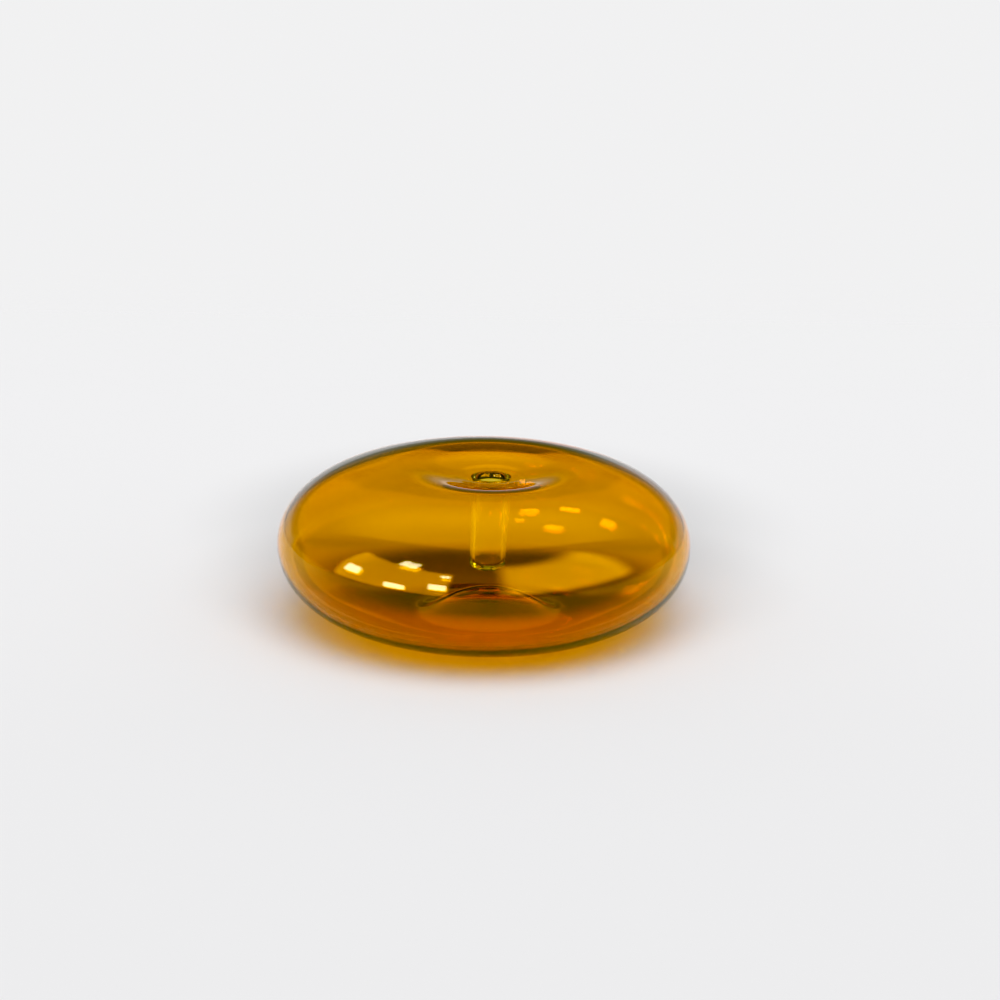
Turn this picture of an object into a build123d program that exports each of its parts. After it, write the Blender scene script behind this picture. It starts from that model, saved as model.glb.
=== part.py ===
from build123d import *
import os

# Hand-blown incense holder: a hollow bubble of amber glass, flattened to an oblate round,
# with a soft dimple in its top.  A closed well tube of colourless glass hangs inside the
# bubble from the middle of the dimple and takes the stick.  The base is pushed up into a
# punt, so the vessel stands on a narrow foot ring.  Millimetres.  The origin is the centre
# of the foot ring, on the surface that the vessel stands on, and +Z runs up the well's axis.

# Bubble, outer skin
BODY_DIAMETER = 108.0
EQUATOR_HEIGHT = 21.4
CREST_HEIGHT = 41.4        # highest ring of the bubble, round the dimple
CREST_RADIUS = 24.0
FUNNEL_HEIGHT = 39.5       # edge of the hole in the dimple, where the mouth bead is fused on
FOOT_INNER_RADIUS = 20.5   # flat, fire-polished ring that touches the table
FOOT_OUTER_RADIUS = 22.5
PUNT_HEIGHT = 6.9          # outer skin of the base at its centre

# Bubble, wall
SIDE_WALL = 1.3
TOP_WALL = 1.7
FOOT_WALL = 2.0
PUNT_WALL = 2.4

# How long each curve keeps the direction that it starts or ends with
SHOULDER_RISE = 10.5
SHOULDER_RUN = 17.5
BELLY_DROP = 17.0
BELLY_RUN = 9.0
DIMPLE_RUN = 6.0
DIMPLE_DROP = 0.9          # how much the dimple still falls over its last run to the bead
PUNT_CROWN_RUN = 10.4
PUNT_FOOT_RUN = 5.6

# Well tube, a length of standard 10 x 1.5 mm tubing.  It is drawn in a little towards its
# lower end, which is melted shut, and its upper end is rolled into a fire-polished lip.
TUBE_RADIUS = 5.0
TUBE_END_RADIUS = 4.6
BORE_RADIUS = 3.5
TUBE_END = 14.8
TAPER_TOP = 32.5           # the tube tapers below this height
END_DOME = 2.0
BORE_END_DOME = 1.4
END_WALL = 1.5
LIP_BASE_HEIGHT = 38.9     # where the lip starts to round over from the tube's outside
LIP_HANDLE_HEIGHT = 39.3   # pulls the rolled lip up to its crown at about 39.1
BORE_MOUTH_HEIGHT = 37.4   # where the bore starts to flare into the rolled lip

# Mouth bead, the collar of glass that fuses the tube into the bubble: a shallow groove on
# top, and an underside that sags a little towards the tube
BEAD_RADIUS = 10.0
GROOVE_RADIUS = 7.2        # pulls the groove's floor in towards the tube
GROOVE_RUN = 1.0
COLLAR_BOTTOM = 37.2       # where the collar's underside meets the tube
COLLAR_RUN = 2.0
COLLAR_DROP = 0.3
COLLAR_FLAT = 1.2

# Base seal, the melted disc that closes the hole the bubble was blown through
SEAL_RADIUS = 6.0
SEAL_NUB = 0.6
NUB_RADIUS = 3.0


def at(radius, height):
    """A point of the half section, which lies in the XZ plane."""
    return Vector(radius, 0, height)


def skin(side, top, foot, punt):
    """Edges of a skin of the bubble, from the centre of the base to the edge of the mouth.

    The four depths say how far the skin lies inside the bubble's outside at the equator,
    at the crest and dimple, at the foot and at the centre of the base.
    """
    rim = BODY_DIAMETER / 2 - side
    ceiling = CREST_HEIGHT - top
    mouth = FUNNEL_HEIGHT - top
    crown = PUNT_HEIGHT + punt
    rise = SHOULDER_RISE * (ceiling - EQUATOR_HEIGHT) / (CREST_HEIGHT - EQUATOR_HEIGHT)
    drop = BELLY_DROP * (EQUATOR_HEIGHT - foot) / EQUATOR_HEIGHT
    return [
        Bezier(
            at(0, crown),
            at(PUNT_CROWN_RUN, crown),
            at(FOOT_INNER_RADIUS - PUNT_FOOT_RUN, foot),
            at(FOOT_INNER_RADIUS, foot),
        ),
        Line(at(FOOT_INNER_RADIUS, foot), at(FOOT_OUTER_RADIUS, foot)),
        Bezier(
            at(FOOT_OUTER_RADIUS, foot),
            at(FOOT_OUTER_RADIUS + BELLY_RUN, foot),
            at(rim, EQUATOR_HEIGHT - drop),
            at(rim, EQUATOR_HEIGHT),
        ),
        Bezier(
            at(rim, EQUATOR_HEIGHT),
            at(rim, EQUATOR_HEIGHT + rise),
            at(CREST_RADIUS + SHOULDER_RUN - side, ceiling),
            at(CREST_RADIUS, ceiling),
        ),
        Bezier(
            at(CREST_RADIUS, ceiling),
            at(CREST_RADIUS - DIMPLE_RUN, ceiling),
            at(BEAD_RADIUS + DIMPLE_RUN, mouth + DIMPLE_DROP),
            at(BEAD_RADIUS, mouth),
        ),
    ]


def half_section(edges, bottom, top):
    """The face between a skin and the axis, out to the edge of the mouth."""
    rim = Line(at(BEAD_RADIUS, top), at(0, top))
    axis = Line(at(0, top), at(0, bottom))
    return make_face(Wire(edges + [rim, axis]))


def wall_section():
    """The glass between the two skins, from the axis to the edge of the mouth."""
    outer = skin(0, 0, 0, 0)
    inner = skin(SIDE_WALL, TOP_WALL, FOOT_WALL, PUNT_WALL)
    outside = half_section(outer, PUNT_HEIGHT, FUNNEL_HEIGHT)
    cavity = half_section(inner, PUNT_HEIGHT + PUNT_WALL, FUNNEL_HEIGHT - TOP_WALL)
    return outside - cavity


def turn(section):
    """A solid of revolution about the vessel's axis."""
    return revolve(section, Axis.Z)


def core(radius, low, high):
    """A cylinder on the axis, for cutting the wall at the mouth and at the seal."""
    return Pos(0, 0, low) * Cylinder(radius, high - low, align=(Align.CENTER, Align.CENTER, Align.MIN))


def bubble_shell():
    """The blown bubble, open at its mouth and at the hole in its base."""
    wall = turn(wall_section())
    mouth = core(BEAD_RADIUS, EQUATOR_HEIGHT, CREST_HEIGHT)
    blow_hole = core(SEAL_RADIUS, 0, EQUATOR_HEIGHT)
    return wall - mouth - blow_hole


def base_seal():
    """The disc that closes the blow hole, with a small melted nub under the punt."""
    disc = turn(wall_section()) & core(SEAL_RADIUS, 0, EQUATOR_HEIGHT)
    nub_top = PUNT_HEIGHT + PUNT_WALL / 2
    nub_end = PUNT_HEIGHT - SEAL_NUB
    nub = [
        Line(at(0, nub_top), at(NUB_RADIUS, nub_top)),
        Bezier(
            at(NUB_RADIUS, nub_top),
            at(NUB_RADIUS, nub_end),
            at(NUB_RADIUS / 2, nub_end),
            at(0, nub_end),
        ),
        Line(at(0, nub_end), at(0, nub_top)),
    ]
    return disc + turn(make_face(Wire(nub)))


def well_tube():
    """The blind well: tubing with a rolled lip at its mouth and a shallow dome at its end."""
    outer_corner = TUBE_END + END_DOME
    bore_bottom = TUBE_END + END_WALL
    bore_corner = bore_bottom + BORE_END_DOME
    outline = [
        Bezier(
            at(TUBE_RADIUS, LIP_BASE_HEIGHT),
            at(TUBE_RADIUS, LIP_HANDLE_HEIGHT),
            at(BORE_RADIUS, LIP_HANDLE_HEIGHT),
            at(BORE_RADIUS, BORE_MOUTH_HEIGHT),
        ),
        Line(at(BORE_RADIUS, BORE_MOUTH_HEIGHT), at(BORE_RADIUS, bore_corner)),
        Bezier(
            at(BORE_RADIUS, bore_corner),
            at(BORE_RADIUS, bore_corner - BORE_END_DOME * 0.6),
            at(BORE_RADIUS * 0.5, bore_bottom),
            at(0, bore_bottom),
        ),
        Line(at(0, bore_bottom), at(0, TUBE_END)),
        Bezier(
            at(0, TUBE_END),
            at(TUBE_END_RADIUS * 0.5, TUBE_END),
            at(TUBE_END_RADIUS, outer_corner - END_DOME * 0.6),
            at(TUBE_END_RADIUS, outer_corner),
        ),
        Line(at(TUBE_END_RADIUS, outer_corner), at(TUBE_RADIUS, TAPER_TOP)),
        Line(at(TUBE_RADIUS, TAPER_TOP), at(TUBE_RADIUS, LIP_BASE_HEIGHT)),
    ]
    return turn(make_face(Wire(outline)))


def mouth_bead():
    """The collar round the tube: its groove on top, and its underside down to the tube."""
    web_bottom = FUNNEL_HEIGHT - TOP_WALL
    outline = [
        Bezier(
            at(BEAD_RADIUS, FUNNEL_HEIGHT),
            at(BEAD_RADIUS - GROOVE_RUN, FUNNEL_HEIGHT - GROOVE_RUN * DIMPLE_DROP / DIMPLE_RUN),
            at(GROOVE_RADIUS, LIP_BASE_HEIGHT),
            at(TUBE_RADIUS, LIP_BASE_HEIGHT),
        ),
        Line(at(TUBE_RADIUS, LIP_BASE_HEIGHT), at(TUBE_RADIUS, COLLAR_BOTTOM)),
        Bezier(
            at(TUBE_RADIUS, COLLAR_BOTTOM),
            at(TUBE_RADIUS + COLLAR_FLAT, COLLAR_BOTTOM),
            at(BEAD_RADIUS - COLLAR_RUN, web_bottom - COLLAR_DROP),
            at(BEAD_RADIUS, web_bottom),
        ),
        Line(at(BEAD_RADIUS, web_bottom), at(BEAD_RADIUS, FUNNEL_HEIGHT)),
    ]
    return turn(make_face(Wire(outline)))


def write(node, shape):
    """Write one named piece to its own file."""
    solids = shape.solids()
    print(node, len(solids), "solid", round(sum(s.volume for s in solids)), "mm3")
    export_step(solids[0] if len(solids) == 1 else Compound(solids), f"parts/{node}.step")


os.makedirs("parts", exist_ok=True)
write("bubble_shell", bubble_shell())
write("base_seal", base_seal())
write("well_tube", well_tube())
write("mouth_bead", mouth_bead())
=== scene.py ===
"""A hand-blown incense holder: a flattened bubble of amber glass with a clear well inside."""
import math

import bmesh
import bpy
from mathutils import Matrix, Vector, noise


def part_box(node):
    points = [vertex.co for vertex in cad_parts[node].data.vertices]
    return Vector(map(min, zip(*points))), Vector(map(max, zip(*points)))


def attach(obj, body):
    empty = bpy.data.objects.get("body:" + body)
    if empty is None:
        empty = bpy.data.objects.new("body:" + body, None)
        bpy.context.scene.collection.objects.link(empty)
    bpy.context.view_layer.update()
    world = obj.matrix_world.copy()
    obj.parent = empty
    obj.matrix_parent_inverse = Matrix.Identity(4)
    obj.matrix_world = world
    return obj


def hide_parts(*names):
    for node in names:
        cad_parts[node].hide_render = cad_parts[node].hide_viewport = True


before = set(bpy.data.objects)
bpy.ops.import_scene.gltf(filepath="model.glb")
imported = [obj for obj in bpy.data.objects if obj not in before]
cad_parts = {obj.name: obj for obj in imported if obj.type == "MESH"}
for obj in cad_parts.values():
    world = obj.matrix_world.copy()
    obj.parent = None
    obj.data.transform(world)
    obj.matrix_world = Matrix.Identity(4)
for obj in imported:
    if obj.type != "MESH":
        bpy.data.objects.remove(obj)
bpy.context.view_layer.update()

# ---------------------------------------------------------------- sizes, in metres
MM = 0.001
shell_low, shell_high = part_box("bubble_shell")
bead_low, bead_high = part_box("mouth_bead")
tube_low, tube_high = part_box("well_tube")

RIM = shell_high.x
CREST = shell_high.z
BEAD_RADIUS = bead_high.x
TUBE_RADIUS = tube_high.x
TUBE_END = tube_low.z

EQUATOR = 21.4 * MM
CREST_RADIUS = 24.0 * MM
FUNNEL = 39.5 * MM
FOOT_INNER = 20.5 * MM
FOOT_OUTER = 22.5 * MM
PUNT = 6.9 * MM
SIDE_WALL = 1.3 * MM
TOP_WALL = 1.7 * MM
FOOT_WALL = 2.0 * MM
PUNT_WALL = 2.4 * MM

# how long each curve keeps the direction that it starts or ends with
SHOULDER_RISE = 10.5 * MM
SHOULDER_RUN = 17.5 * MM
BELLY_DROP = 17.0 * MM
BELLY_RUN = 9.0 * MM
DIMPLE_RUN = 6.0 * MM
DIMPLE_DROP = 0.9 * MM
PUNT_CROWN_RUN = 10.4 * MM
PUNT_FOOT_RUN = 5.6 * MM

TUBE_END_RADIUS = 4.6 * MM
BORE_RADIUS = 3.5 * MM
TAPER_TOP = 32.5 * MM
END_DOME = 2.0 * MM
BORE_END_DOME = 1.4 * MM
END_WALL = 1.5 * MM
LIP_BASE = 38.9 * MM
LIP_HANDLE = 39.3 * MM
BORE_MOUTH = 37.4 * MM
GROOVE_RADIUS = 7.2 * MM
GROOVE_RUN = 1.0 * MM
COLLAR_BOTTOM = 37.2 * MM
COLLAR_RUN = 2.0 * MM
COLLAR_DROP = 0.3 * MM
COLLAR_FLAT = 1.2 * MM
NUB_RADIUS = 3.0 * MM
NUB_DROP = 0.6 * MM
JOINT_GAP = 0.01 * MM

# A hand-blown piece isn't quite round: the belly hangs a little to one side of the mouth, and
# the wall swells and thins slowly from place to place.
LEAN = 1.6 * MM
LEAN_START = 15.0 * MM
LEAN_END = 45.0 * MM
WAVE_LENGTH = 32.0 * MM
WAVE_SQUASH = 2
OUTER_WAVE = 0.10 * MM
INNER_WAVE = 0.16 * MM
TUBE_SWAY = 0.6 * MM

# where a melted end's curve has its two handles, as shares of its height and its radius
DOME_SHOULDER = 0.6
DOME_CROWN = 0.5

# how many straight steps each part of an outline has, and how many a full turn
PUNT_STEPS = 30
FOOT_STEPS = 4
WALL_STEPS = 48
DIMPLE_STEPS = 24
COLLAR_STEPS = 14
JOINT_STEPS = 6
TUBE_STEPS = 24
STEM_STEPS = 10
END_STEPS = 16
TURNS = 256


# ---------------------------------------------------------------- profiles
def bezier(p0, p1, p2, p3, steps):
    """Points of one cubic curve in the half section, without its last point."""
    points = []
    for i in range(steps):
        t = i / steps
        u = 1 - t
        points.append(tuple(
            u ** 3 * a + 3 * u * u * t * b + 3 * u * t * t * c + t ** 3 * d
            for a, b, c, d in zip(p0, p1, p2, p3)))
    return points


def straight(p0, p1, steps):
    return [tuple(a + (b - a) * i / steps for a, b in zip(p0, p1)) for i in range(steps)]


def skin(side, top, foot, punt):
    """One skin of the bubble, from the centre of the base to the edge of the mouth."""
    rim = RIM - side
    ceiling = CREST - top
    mouth = FUNNEL - top
    crown = PUNT + punt
    rise = SHOULDER_RISE * (ceiling - EQUATOR) / (CREST - EQUATOR)
    drop = BELLY_DROP * (EQUATOR - foot) / EQUATOR
    inner_foot = (FOOT_INNER, foot)
    outer_foot = (FOOT_OUTER, foot)
    equator = (rim, EQUATOR)
    crest = (CREST_RADIUS, ceiling)
    edge = (BEAD_RADIUS, mouth)
    base = bezier(
        (0, crown), (PUNT_CROWN_RUN, crown),
        (FOOT_INNER - PUNT_FOOT_RUN, foot), inner_foot, PUNT_STEPS)
    ring = straight(inner_foot, outer_foot, FOOT_STEPS)
    belly = bezier(
        outer_foot, (FOOT_OUTER + BELLY_RUN, foot),
        (rim, EQUATOR - drop), equator, WALL_STEPS)
    shoulder = bezier(
        equator, (rim, EQUATOR + rise),
        (CREST_RADIUS + SHOULDER_RUN - side, ceiling), crest, WALL_STEPS)
    dimple = bezier(
        crest, (CREST_RADIUS - DIMPLE_RUN, ceiling),
        (BEAD_RADIUS + DIMPLE_RUN, mouth + DIMPLE_DROP), edge, DIMPLE_STEPS)
    return base + ring + belly + shoulder + dimple + [edge]


def nub(points):
    """Lets the melted glass at the centre of the base hang down in a small drop."""
    hung = []
    for r, z in points:
        if r < NUB_RADIUS:
            z -= NUB_DROP * (1 + math.cos(math.pi * r / NUB_RADIUS)) / 2
        hung.append((r, z))
    return hung


def bubble_outline():
    """The amber wall: up its outside, down the hole for the tube and back round its inside."""
    outside = skin(0, 0, 0, 0)
    base_end = len(outside) // 2
    outside = nub(outside[:base_end]) + outside[base_end:]
    inside = skin(SIDE_WALL, TOP_WALL, FOOT_WALL, PUNT_WALL)
    hole = TUBE_RADIUS + JOINT_GAP
    web = FUNNEL - TOP_WALL
    fall = DIMPLE_DROP / DIMPLE_RUN
    groove = bezier(
        (BEAD_RADIUS, FUNNEL), (BEAD_RADIUS - GROOVE_RUN, FUNNEL - GROOVE_RUN * fall),
        (GROOVE_RADIUS, LIP_BASE), (hole, LIP_BASE), COLLAR_STEPS)
    joint = straight((hole, LIP_BASE), (hole, COLLAR_BOTTOM), JOINT_STEPS)
    underside = bezier(
        (hole, COLLAR_BOTTOM), (hole + COLLAR_FLAT, COLLAR_BOTTOM),
        (BEAD_RADIUS - COLLAR_RUN, web - COLLAR_DROP), (BEAD_RADIUS, web), COLLAR_STEPS)
    return outside[:-1] + groove + joint + underside + inside[::-1]


def well_outline():
    """The clear well: up the tube's outside, over the lip and down the bore."""
    corner = TUBE_END + END_DOME
    bottom = TUBE_END + END_WALL
    bore_corner = bottom + BORE_END_DOME
    end = bezier(
        (0, TUBE_END), (TUBE_END_RADIUS * DOME_CROWN, TUBE_END),
        (TUBE_END_RADIUS, corner - END_DOME * DOME_SHOULDER), (TUBE_END_RADIUS, corner), END_STEPS)
    taper = straight((TUBE_END_RADIUS, corner), (TUBE_RADIUS, TAPER_TOP), TUBE_STEPS)
    stem = straight((TUBE_RADIUS, TAPER_TOP), (TUBE_RADIUS, LIP_BASE), STEM_STEPS)
    lip = bezier(
        (TUBE_RADIUS, LIP_BASE), (TUBE_RADIUS, LIP_HANDLE),
        (BORE_RADIUS, LIP_HANDLE), (BORE_RADIUS, BORE_MOUTH), TUBE_STEPS)
    bore = straight((BORE_RADIUS, BORE_MOUTH), (BORE_RADIUS, bore_corner), TUBE_STEPS)
    floor_of_bore = bezier(
        (BORE_RADIUS, bore_corner), (BORE_RADIUS, bore_corner - BORE_END_DOME * DOME_SHOULDER),
        (BORE_RADIUS * DOME_CROWN, bottom), (0, bottom), COLLAR_STEPS)
    return end + taper + stem + lip + bore + floor_of_bore + [(0, bottom)]


# ---------------------------------------------------------------- glass blowing
def ease(value, low, high):
    """Rises smoothly from 0 at low to 1 at high."""
    t = min(1, max(0, (value - low) / (high - low)))
    return t * t * (3 - 2 * t)


def lean(x, y, z):
    """The belly hangs to one side of the mouth and of the base's centre."""
    free = ease(math.hypot(x, y), LEAN_START, LEAN_END)
    return Vector((x - LEAN * free, y, z))


def sway(x, y, z):
    """The well's lower end hangs a little off the axis."""
    return Vector((x - TUBE_SWAY * ease(COLLAR_BOTTOM - z, 0, COLLAR_BOTTOM - TUBE_END), y, z))


def bubble_wave(x, y, z, inner):
    """How far the wall's skin stands out of the turned shape."""
    size = INNER_WAVE if inner else OUTER_WAVE
    free = ease(math.hypot(x, y), LEAN_START, LEAN_END) * ease(z, 0, EQUATOR / 2)
    return noise.noise(Vector((x, y, z * WAVE_SQUASH)) / WAVE_LENGTH) * size * free


def turned(name, outline, place):
    """A closed body of revolution whose outline starts and ends on the axis."""
    bm = bmesh.new()
    first = bm.verts.new(place(0, 0, outline[0][1]))
    last = bm.verts.new(place(0, 0, outline[-1][1]))
    rings = []
    for r, z in outline[1:-1]:
        angles = [2 * math.pi * k / TURNS for k in range(TURNS)]
        rings.append([bm.verts.new(place(r * math.cos(a), r * math.sin(a), z)) for a in angles])
    for k in range(TURNS):
        n = (k + 1) % TURNS
        bm.faces.new((first, rings[0][n], rings[0][k]))
        bm.faces.new((last, rings[-1][k], rings[-1][n]))
        for low, high in zip(rings, rings[1:]):
            bm.faces.new((low[k], low[n], high[n], high[k]))
    bmesh.ops.recalc_face_normals(bm, faces=bm.faces)
    mesh = bpy.data.meshes.new(name)
    bm.to_mesh(mesh)
    bm.free()
    for polygon in mesh.polygons:
        polygon.use_smooth = True
    piece = bpy.data.objects.new(name, mesh)
    bpy.context.scene.collection.objects.link(piece)
    return piece


# how flat the bubble is, for telling whether a face looks out of it or into it
FLATNESS = 3


def blow(piece):
    """Gives the bubble's two skins their own slow waves."""
    moved = []
    for v in piece.data.vertices:
        x, y, z = v.co
        inner = v.normal.dot(Vector((x, y, (z - EQUATOR) * FLATNESS))) < 0
        moved.append(v.co + v.normal * bubble_wave(x, y, z, inner) * (-1 if inner else 1))
    for v, co in zip(piece.data.vertices, moved):
        v.co = co


# ---------------------------------------------------------------- materials
GLASS_IOR = 1.474
# a glass's volume colour and density together say how much of each colour a metre swallows
AMBER = (0.965, 0.81, 0.02, 1)
AMBER_DENSITY = 1400.0
CLEAR = (0.98, 0.99, 0.975, 1)
CLEAR_DENSITY = 400.0
PAPER = (0.86, 0.86, 0.87, 1)
# the camera sees this colour where nothing stands, all round
BACKDROP = (0.88, 0.88, 0.885)


def glass(name, colour, density):
    m = bpy.data.materials.new(name)
    m.use_nodes = True
    nodes, links = m.node_tree.nodes, m.node_tree.links
    bsdf = nodes["Principled BSDF"]
    bsdf.inputs["Base Color"].default_value = (1, 1, 1, 1)
    bsdf.inputs["Roughness"].default_value = 0.0
    bsdf.inputs["IOR"].default_value = GLASS_IOR
    bsdf.inputs["Transmission Weight"].default_value = 1.0
    volume = nodes.new("ShaderNodeVolumeAbsorption")
    volume.inputs["Color"].default_value = colour
    volume.inputs["Density"].default_value = density
    links.new(volume.outputs["Volume"], nodes["Material Output"].inputs["Volume"])
    return m


def floor_paint():
    """Pale paper with painted shade: darker under and behind the body, where the glass lets little
    light down, and a little darker towards the front.
    """
    m = bpy.data.materials.new("pale_floor")
    m.use_nodes = True
    bsdf = m.node_tree.nodes["Principled BSDF"]
    bsdf.inputs["Base Color"].default_value = PAPER
    bsdf.inputs["Roughness"].default_value = 1.0
    bsdf.inputs["Specular IOR Level"].default_value = 0.0
    s = Sums(m.node_tree)
    split = s.tree.nodes.new("ShaderNodeSeparateXYZ")
    s.feed(split.inputs[0], s.tree.nodes.new("ShaderNodeTexCoord").outputs["Object"])
    s.feed(bsdf.inputs["Alpha"], s.rise(split.outputs["Y"], FADE_START, FADE_END, 1.0, 0.0))
    x, y = split.outputs["X"], split.outputs["Y"]
    near = s.rise(y, *NEAR_RANGE, NEAR_SHADE, 1.0)
    reach = s.reach(s.times(x, SHADE_ACROSS), s.times(s.minus(y, SHADE_CENTRE), SHADE_ALONG))
    shade = s.rise(reach, SHADE_CORE, SHADE_EDGE, SHADE, SHADE_MIDDLE)
    shade = s.plus(shade, s.rise(reach, SHADE_EDGE, SHADE_END, 0.0, 1 - SHADE_MIDDLE))
    back = s.rise(s.reach(x, s.minus(y, BACK_CENTRE)), BACK_CORE, BACK_EDGE, BACK_SHADE, 1.0)
    s.feed(bsdf.inputs["Base Color"], s.scaled(PAPER[:3], s.times(near, s.times(shade, back))))
    return m


# ---------------------------------------------------------------- pieces
def bubble():
    piece = turned("bubble", bubble_outline(), lean)
    blow(piece)
    piece.data.materials.append(glass("amber_glass", AMBER, AMBER_DENSITY))
    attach(piece, "root")
    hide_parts("bubble_shell", "base_seal", "mouth_bead")
    return piece


def well():
    piece = turned("well", well_outline(), sway)
    piece.data.materials.append(glass("clear_glass", CLEAR, CLEAR_DENSITY))
    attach(piece, "root")
    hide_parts("well_tube")
    return piece


FLOOR_HALF = 6.0
FLOOR_DROP = 0.05 * MM
# the floor's painted shades are shares of the paper's own brightness
NEAR_RANGE = (-0.3, 0.2)
NEAR_SHADE = 0.96
SHADE = 0.16
SHADE_ACROSS, SHADE_ALONG = 0.78, 0.95
SHADE_CENTRE = 31 * MM
SHADE_CORE, SHADE_EDGE = 26 * MM, 44 * MM
SHADE_END = 70 * MM
SHADE_MIDDLE = 0.88
# a wider and weaker shade behind the body
BACK_CENTRE = 85 * MM
BACK_CORE, BACK_EDGE = 35 * MM, 95 * MM
BACK_SHADE = 0.72
# how far behind the body the floor fades out
FADE_START, FADE_END = 0.20, 0.40


def floor():
    bm = bmesh.new()
    bmesh.ops.create_grid(bm, x_segments=1, y_segments=1, size=FLOOR_HALF)
    mesh = bpy.data.meshes.new("floor")
    bm.to_mesh(mesh)
    bm.free()
    table = bpy.data.objects.new("floor", mesh)
    bpy.context.scene.collection.objects.link(table)
    table.location.z = -FLOOR_DROP
    mesh.materials.append(floor_paint())


# ---------------------------------------------------------------- camera
CAMERA_DISTANCE = 0.853
CAMERA_ELEVATION = math.radians(17.8)
CAMERA_ROLL = math.radians(0.78)
SENSOR = 36.0
VIEW_WIDTH = 0.26164            # how wide a strip of the scene the picture shows at the body
AIM_RIGHT, AIM_UP = 4.19 * MM, 10.78 * MM


def camera():
    data = bpy.data.cameras.new("camera")
    cam = bpy.data.objects.new("camera", data)
    bpy.context.scene.collection.objects.link(cam)
    data.sensor_width = SENSOR
    data.lens = SENSOR * CAMERA_DISTANCE / VIEW_WIDTH
    centre = Vector((-LEAN, 0, EQUATOR))
    forward = Vector((0, math.cos(CAMERA_ELEVATION), -math.sin(CAMERA_ELEVATION)))
    right = Vector((1, 0, 0))
    up = right.cross(forward)
    place = centre - forward * CAMERA_DISTANCE
    right, up = (
        right * math.cos(CAMERA_ROLL) + up * math.sin(CAMERA_ROLL),
        up * math.cos(CAMERA_ROLL) - right * math.sin(CAMERA_ROLL),
    )
    look = (centre + right * AIM_RIGHT + up * AIM_UP - place).normalized()
    side = look.cross(up).normalized()
    pose = Matrix((side, side.cross(look), -look)).transposed().to_4x4()
    pose.translation = place
    cam.matrix_world = pose
    bpy.context.scene.camera = cam


# ---------------------------------------------------------------- light
# Directions are an azimuth from +Y towards +X and an elevation. A window in the sky is its left
# and right azimuth and its low and high elevation in degrees; its SOFT is how wide its edge is. A
# FADE is the elevations that a light starts and ends its fading at.
SOFT_SKY = 0.36
KEY_LEVEL = 2.35
KEY_AZIMUTH, KEY_ELEVATION = math.radians(172), math.radians(68)
# cosines of the angle from the key light's middle, where its edge starts and ends
KEY_EDGE, KEY_CORE = 0.76, 0.98
BEHIND = (-70, 70, 2, 22)
BEHIND_SOFT = 8
BEHIND_LEVEL = 0.8
# the key light as it reaches the floor through the glass
SPREAD_LEVEL = 5.6
SPREAD_EDGE, SPREAD_CORE = 0.60, 0.96
THROUGH_LEVEL = 0.5
SIDE_LEVEL = 0.4
SIDE_SOFT = 20
# the tent's edge: how it flares with height, tilts back and bows round the sides
TENT_FLARE, TENT_TILT, TENT_BOW = 0.35, 0.21, 0.8
TENT_EDGE = (0.02, 0.13)
TENT_FADE = (-2, 6)
TENT_LOW = 0.55
TENT_HIGH = 2.8
OVERHEAD_FADE = (30, 60)
ROOM = 0.02
STRIP = (-48, 48, -6, 12)
STRIP_SOFT = 2
MIRRORED_SOFT = 6
STRIP_SHADE = 0.4
GAP = (-12, 12, 14, 26)
GAP_SOFT = 4
LOW_GLOW = 0.15
GLOW_FADE = (2, 14)
OVERHEAD = (1.0, 0.50, 0.05)
TINT_FADE = (4, 18)
HORIZON_LEVEL = 0.35
HORIZON_FADE = (1, 5)
WARM = (1.0, 0.50, 0.10)
LEFT_PANEL = (-160, -92, 3, 44)
LEFT_SOFT = 5
LEFT_LEVEL = 9.0
RIGHT_PANEL = (92, 168, 10, 58)
RIGHT_SOFT = 14
RIGHT_LEVEL = 12.0
HAZE_LEVEL = 0.88
HAZE_FADE = (2, 8)
# each lamp's azimuth, elevation, half width and half height
LAMPS = {
    "low_far_left": (-101, 19, 5, 5),
    "high_left": (-127, 48, 7, 4),
    "low_left": (-130, 10, 6, 4),
    "low_front": (-154, 19, 5, 5),
    "high_front": (-156, 39, 3, 2),
}
LAMP_SOFT = 3
LAMP_LEVEL = 22.0
LAMP_COLOUR = (1.0, 0.86, 0.5)
WHITE = (1.0, 1.0, 1.0)


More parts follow.
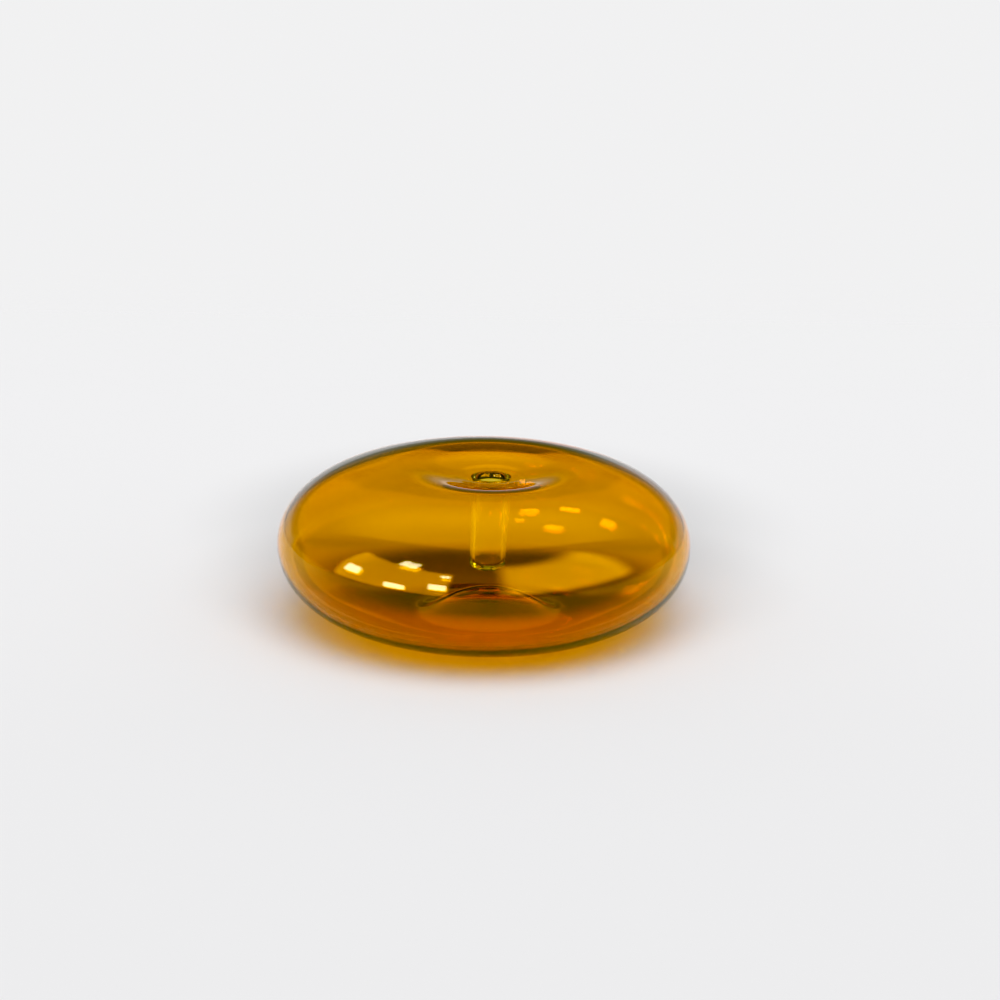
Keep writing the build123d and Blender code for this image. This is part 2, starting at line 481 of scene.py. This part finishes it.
class Sums:
    """Writes arithmetic into a node tree. A value is a number, a tuple or a socket."""

    def __init__(self, tree):
        self.tree = tree

    def feed(self, socket, value):
        if isinstance(value, bpy.types.NodeSocket):
            self.tree.links.new(value, socket)
        else:
            socket.default_value = value

    def math(self, operation, *values):
        node = self.tree.nodes.new("ShaderNodeMath")
        node.operation = operation
        for socket, value in zip(node.inputs, values):
            self.feed(socket, value)
        return node.outputs[0]

    def times(self, a, b):
        return self.math("MULTIPLY", a, b)

    def plus(self, a, b):
        return self.math("ADD", a, b)

    def minus(self, a, b):
        return self.math("SUBTRACT", a, b)

    def reach(self, x, y):
        return self.math("SQRT", self.plus(self.times(x, x), self.times(y, y)))

    def scaled(self, vector, factor):
        node = self.tree.nodes.new("ShaderNodeVectorMath")
        node.operation = "SCALE"
        self.feed(node.inputs[0], vector)
        self.feed(node.inputs["Scale"], factor)
        return node.outputs[0]

    def total(self, a, b):
        node = self.tree.nodes.new("ShaderNodeVectorMath")
        node.operation = "ADD"
        self.feed(node.inputs[0], a)
        self.feed(node.inputs[1], b)
        return node.outputs[0]

    def dot(self, a, b):
        node = self.tree.nodes.new("ShaderNodeVectorMath")
        node.operation = "DOT_PRODUCT"
        self.feed(node.inputs[0], a)
        self.feed(node.inputs[1], b)
        return node.outputs["Value"]

    def rise(self, value, low, high, start=0.0, end=1.0):
        """Goes smoothly from start to end as the value goes from low to high."""
        node = self.tree.nodes.new("ShaderNodeMapRange")
        node.interpolation_type = "SMOOTHSTEP"
        for socket, number in zip(node.inputs, (value, low, high, start, end)):
            self.feed(socket, number)
        return node.outputs[0]

    def band(self, value, low, high, soft):
        """Is 1 between low and high, with edges as wide as soft."""
        up = self.rise(value, low - soft / 2, low + soft / 2)
        down = self.rise(value, high - soft / 2, high + soft / 2, 1.0, 0.0)
        return self.times(up, down)

    def window(self, azimuth, elevation, left, right, low, high, soft):
        return self.times(self.band(azimuth, left, right, soft), self.band(elevation, low, high, soft))

    def choose(self, factor, a, b):
        node = self.tree.nodes.new("ShaderNodeMix")
        node.data_type = "RGBA"
        node.clamp_factor = True
        self.feed(node.inputs["Factor"], factor)
        colours = [socket for socket in node.inputs if socket.type == "RGBA"]
        for socket, value in zip(colours, (a, b)):
            self.feed(socket, value if isinstance(value, bpy.types.NodeSocket) else (*value, 1))
        return [socket for socket in node.outputs if socket.type == "RGBA"][0]


def direction(azimuth, elevation):
    return (
        math.sin(azimuth) * math.cos(elevation),
        math.cos(azimuth) * math.cos(elevation),
        math.sin(elevation),
    )


def tent_mask(s, way):
    """The white tent stands behind and over the piece; its edge runs down both sides."""
    split = s.tree.nodes.new("ShaderNodeSeparateXYZ")
    s.feed(split.inputs[0], way)
    x, y, z = split.outputs
    side = s.math("ABSOLUTE", x)
    height = s.times(s.math("ABSOLUTE", z), TENT_FLARE)
    spread = s.math("DIVIDE", s.times(side, side), s.plus(side, height))
    edge = s.minus(s.plus(y, s.times(z, TENT_TILT)), s.times(spread, TENT_BOW))
    return s.rise(edge, *TENT_EDGE)


def lamps(s, azimuth, elevation):
    sum_of_lamps = 0.0
    for across, up, half_width, half_height in LAMPS.values():
        lamp = s.window(
            azimuth, elevation, across - half_width, across + half_width,
            up - half_height, up + half_height, LAMP_SOFT)
        sum_of_lamps = s.plus(sum_of_lamps, lamp)
    return s.scaled(LAMP_COLOUR, s.times(sum_of_lamps, LAMP_LEVEL))


def mirrored(s, azimuth, elevation, tent):
    """What the glass mirrors: the tent with a darker strip low in it, two panels, a dark room."""
    low = s.rise(elevation, *GLOW_FADE, LOW_GLOW, 0.0)
    horizon = s.rise(elevation, *HORIZON_FADE, HORIZON_LEVEL, 0.0)
    strip = s.times(s.window(azimuth, elevation, *STRIP, MIRRORED_SOFT), STRIP_SHADE)
    low = s.times(s.plus(low, TENT_LOW), s.minus(1.0, strip))
    bright = s.plus(s.times(tent, low), ROOM)
    tint = s.choose(s.rise(elevation, *TINT_FADE), WHITE, OVERHEAD)
    bright = s.total(s.scaled(tint, bright), s.scaled(WHITE, horizon))
    overhead = s.times(tent, s.rise(elevation, *OVERHEAD_FADE, 0.0, TENT_HIGH))
    left = s.times(s.window(azimuth, elevation, *LEFT_PANEL, LEFT_SOFT), LEFT_LEVEL)
    right = s.times(s.window(azimuth, elevation, *RIGHT_PANEL, RIGHT_SOFT), RIGHT_LEVEL)
    panels = s.scaled(WARM, s.plus(left, right))
    return s.total(bright, s.total(s.scaled(OVERHEAD, overhead), panels))


def seen_through(s, azimuth, elevation, tent):
    """What is seen through the glass: the tent with two dark gaps, and a haze low all round."""
    strip = s.window(azimuth, elevation, *STRIP, STRIP_SOFT)
    gap = s.window(azimuth, elevation, *GAP, GAP_SOFT)
    haze = s.rise(elevation, *HAZE_FADE, HAZE_LEVEL, 0.0)
    tent = s.times(tent, s.rise(elevation, *TENT_FADE))
    light = s.times(s.plus(tent, haze), s.minus(1.0, s.plus(strip, gap)))
    return s.scaled(WHITE, s.plus(light, ROOM))


def soft_light(s, toward, azimuth, elevation):
    """What lights the open floor: an even sky, a key overhead, weak lights behind and beside."""
    key = s.rise(toward, KEY_EDGE, KEY_CORE, 0.0, KEY_LEVEL)
    behind = s.window(azimuth, elevation, *BEHIND, BEHIND_SOFT)
    key = s.plus(key, s.times(behind, BEHIND_LEVEL))
    left = s.window(azimuth, elevation, *LEFT_PANEL, SIDE_SOFT)
    right = s.window(azimuth, elevation, *RIGHT_PANEL, SIDE_SOFT)
    sides = s.times(s.plus(left, right), SIDE_LEVEL)
    return s.scaled(WHITE, s.plus(s.plus(key, sides), SOFT_SKY))


def studio():
    """The sky. What a ray sees of it depends on how the ray got there."""
    world = bpy.data.worlds.new("studio")
    bpy.context.scene.world = world
    world.use_nodes = True
    tree = world.node_tree
    s = Sums(tree)
    way = tree.nodes.new("ShaderNodeTexCoord").outputs["Generated"]
    split = tree.nodes.new("ShaderNodeSeparateXYZ")
    s.feed(split.inputs[0], way)
    x, y, z = split.outputs
    azimuth = s.math("DEGREES", s.math("ARCTAN2", x, y))
    elevation = s.math("DEGREES", s.math("ARCSINE", z))
    tent = tent_mask(s, way)
    bulbs = lamps(s, azimuth, elevation)
    mirror = s.total(mirrored(s, azimuth, elevation, tent), bulbs)
    through = s.total(seen_through(s, azimuth, elevation, tent), bulbs)
    path = tree.nodes.new("ShaderNodeLightPath").outputs
    off_floor = s.math("MINIMUM", path["Diffuse Depth"], 1.0)
    first_hand = s.times(path["Is Glossy Ray"], s.minus(1.0, off_floor))
    sky = s.choose(path["Is Transmission Ray"], mirror, through)
    toward = s.dot(way, direction(KEY_AZIMUTH, KEY_ELEVATION))
    spread = s.rise(toward, SPREAD_EDGE, SPREAD_CORE, THROUGH_LEVEL, SPREAD_LEVEL)
    even = soft_light(s, toward, azimuth, elevation)
    even = s.choose(path["Is Transmission Ray"], even, s.scaled(WHITE, spread))
    sky = s.choose(first_hand, even, sky)
    sky = s.choose(path["Is Camera Ray"], sky, BACKDROP)
    s.feed(tree.nodes["Background"].inputs["Color"], sky)


# ---------------------------------------------------------------- picture
# how bright each level of light comes out: all channels, and then blue, which has a mild toe
CONTRAST = ((0.0, 0.0), (0.12, 0.09), (0.45, 0.45), (0.88, 0.88), (1.0, 0.97))
BLUE = ((0.0, 0.0), (0.06, 0.003), (0.13, 0.08), (0.30, 0.28), (0.88, 0.88), (1.0, 1.0))


def bend(curve, levels):
    """Runs a tone curve through the given levels."""
    for level, shown in levels[1:-1]:
        curve.points.new(level, shown)
    curve.points[0].location = levels[0]
    curve.points[-1].location = levels[-1]


def picture():
    scene = bpy.context.scene
    scene.cycles.max_bounces = 24
    scene.cycles.transmission_bounces = 24
    scene.cycles.glossy_bounces = 12
    scene.cycles.diffuse_bounces = 4
    scene.view_settings.view_transform = "Standard"
    scene.view_settings.use_curve_mapping = True
    mapping = scene.view_settings.curve_mapping
    bend(mapping.curves[3], CONTRAST)
    bend(mapping.curves[2], BLUE)
    mapping.update()


bubble()
well()
floor()
camera()
studio()
picture()
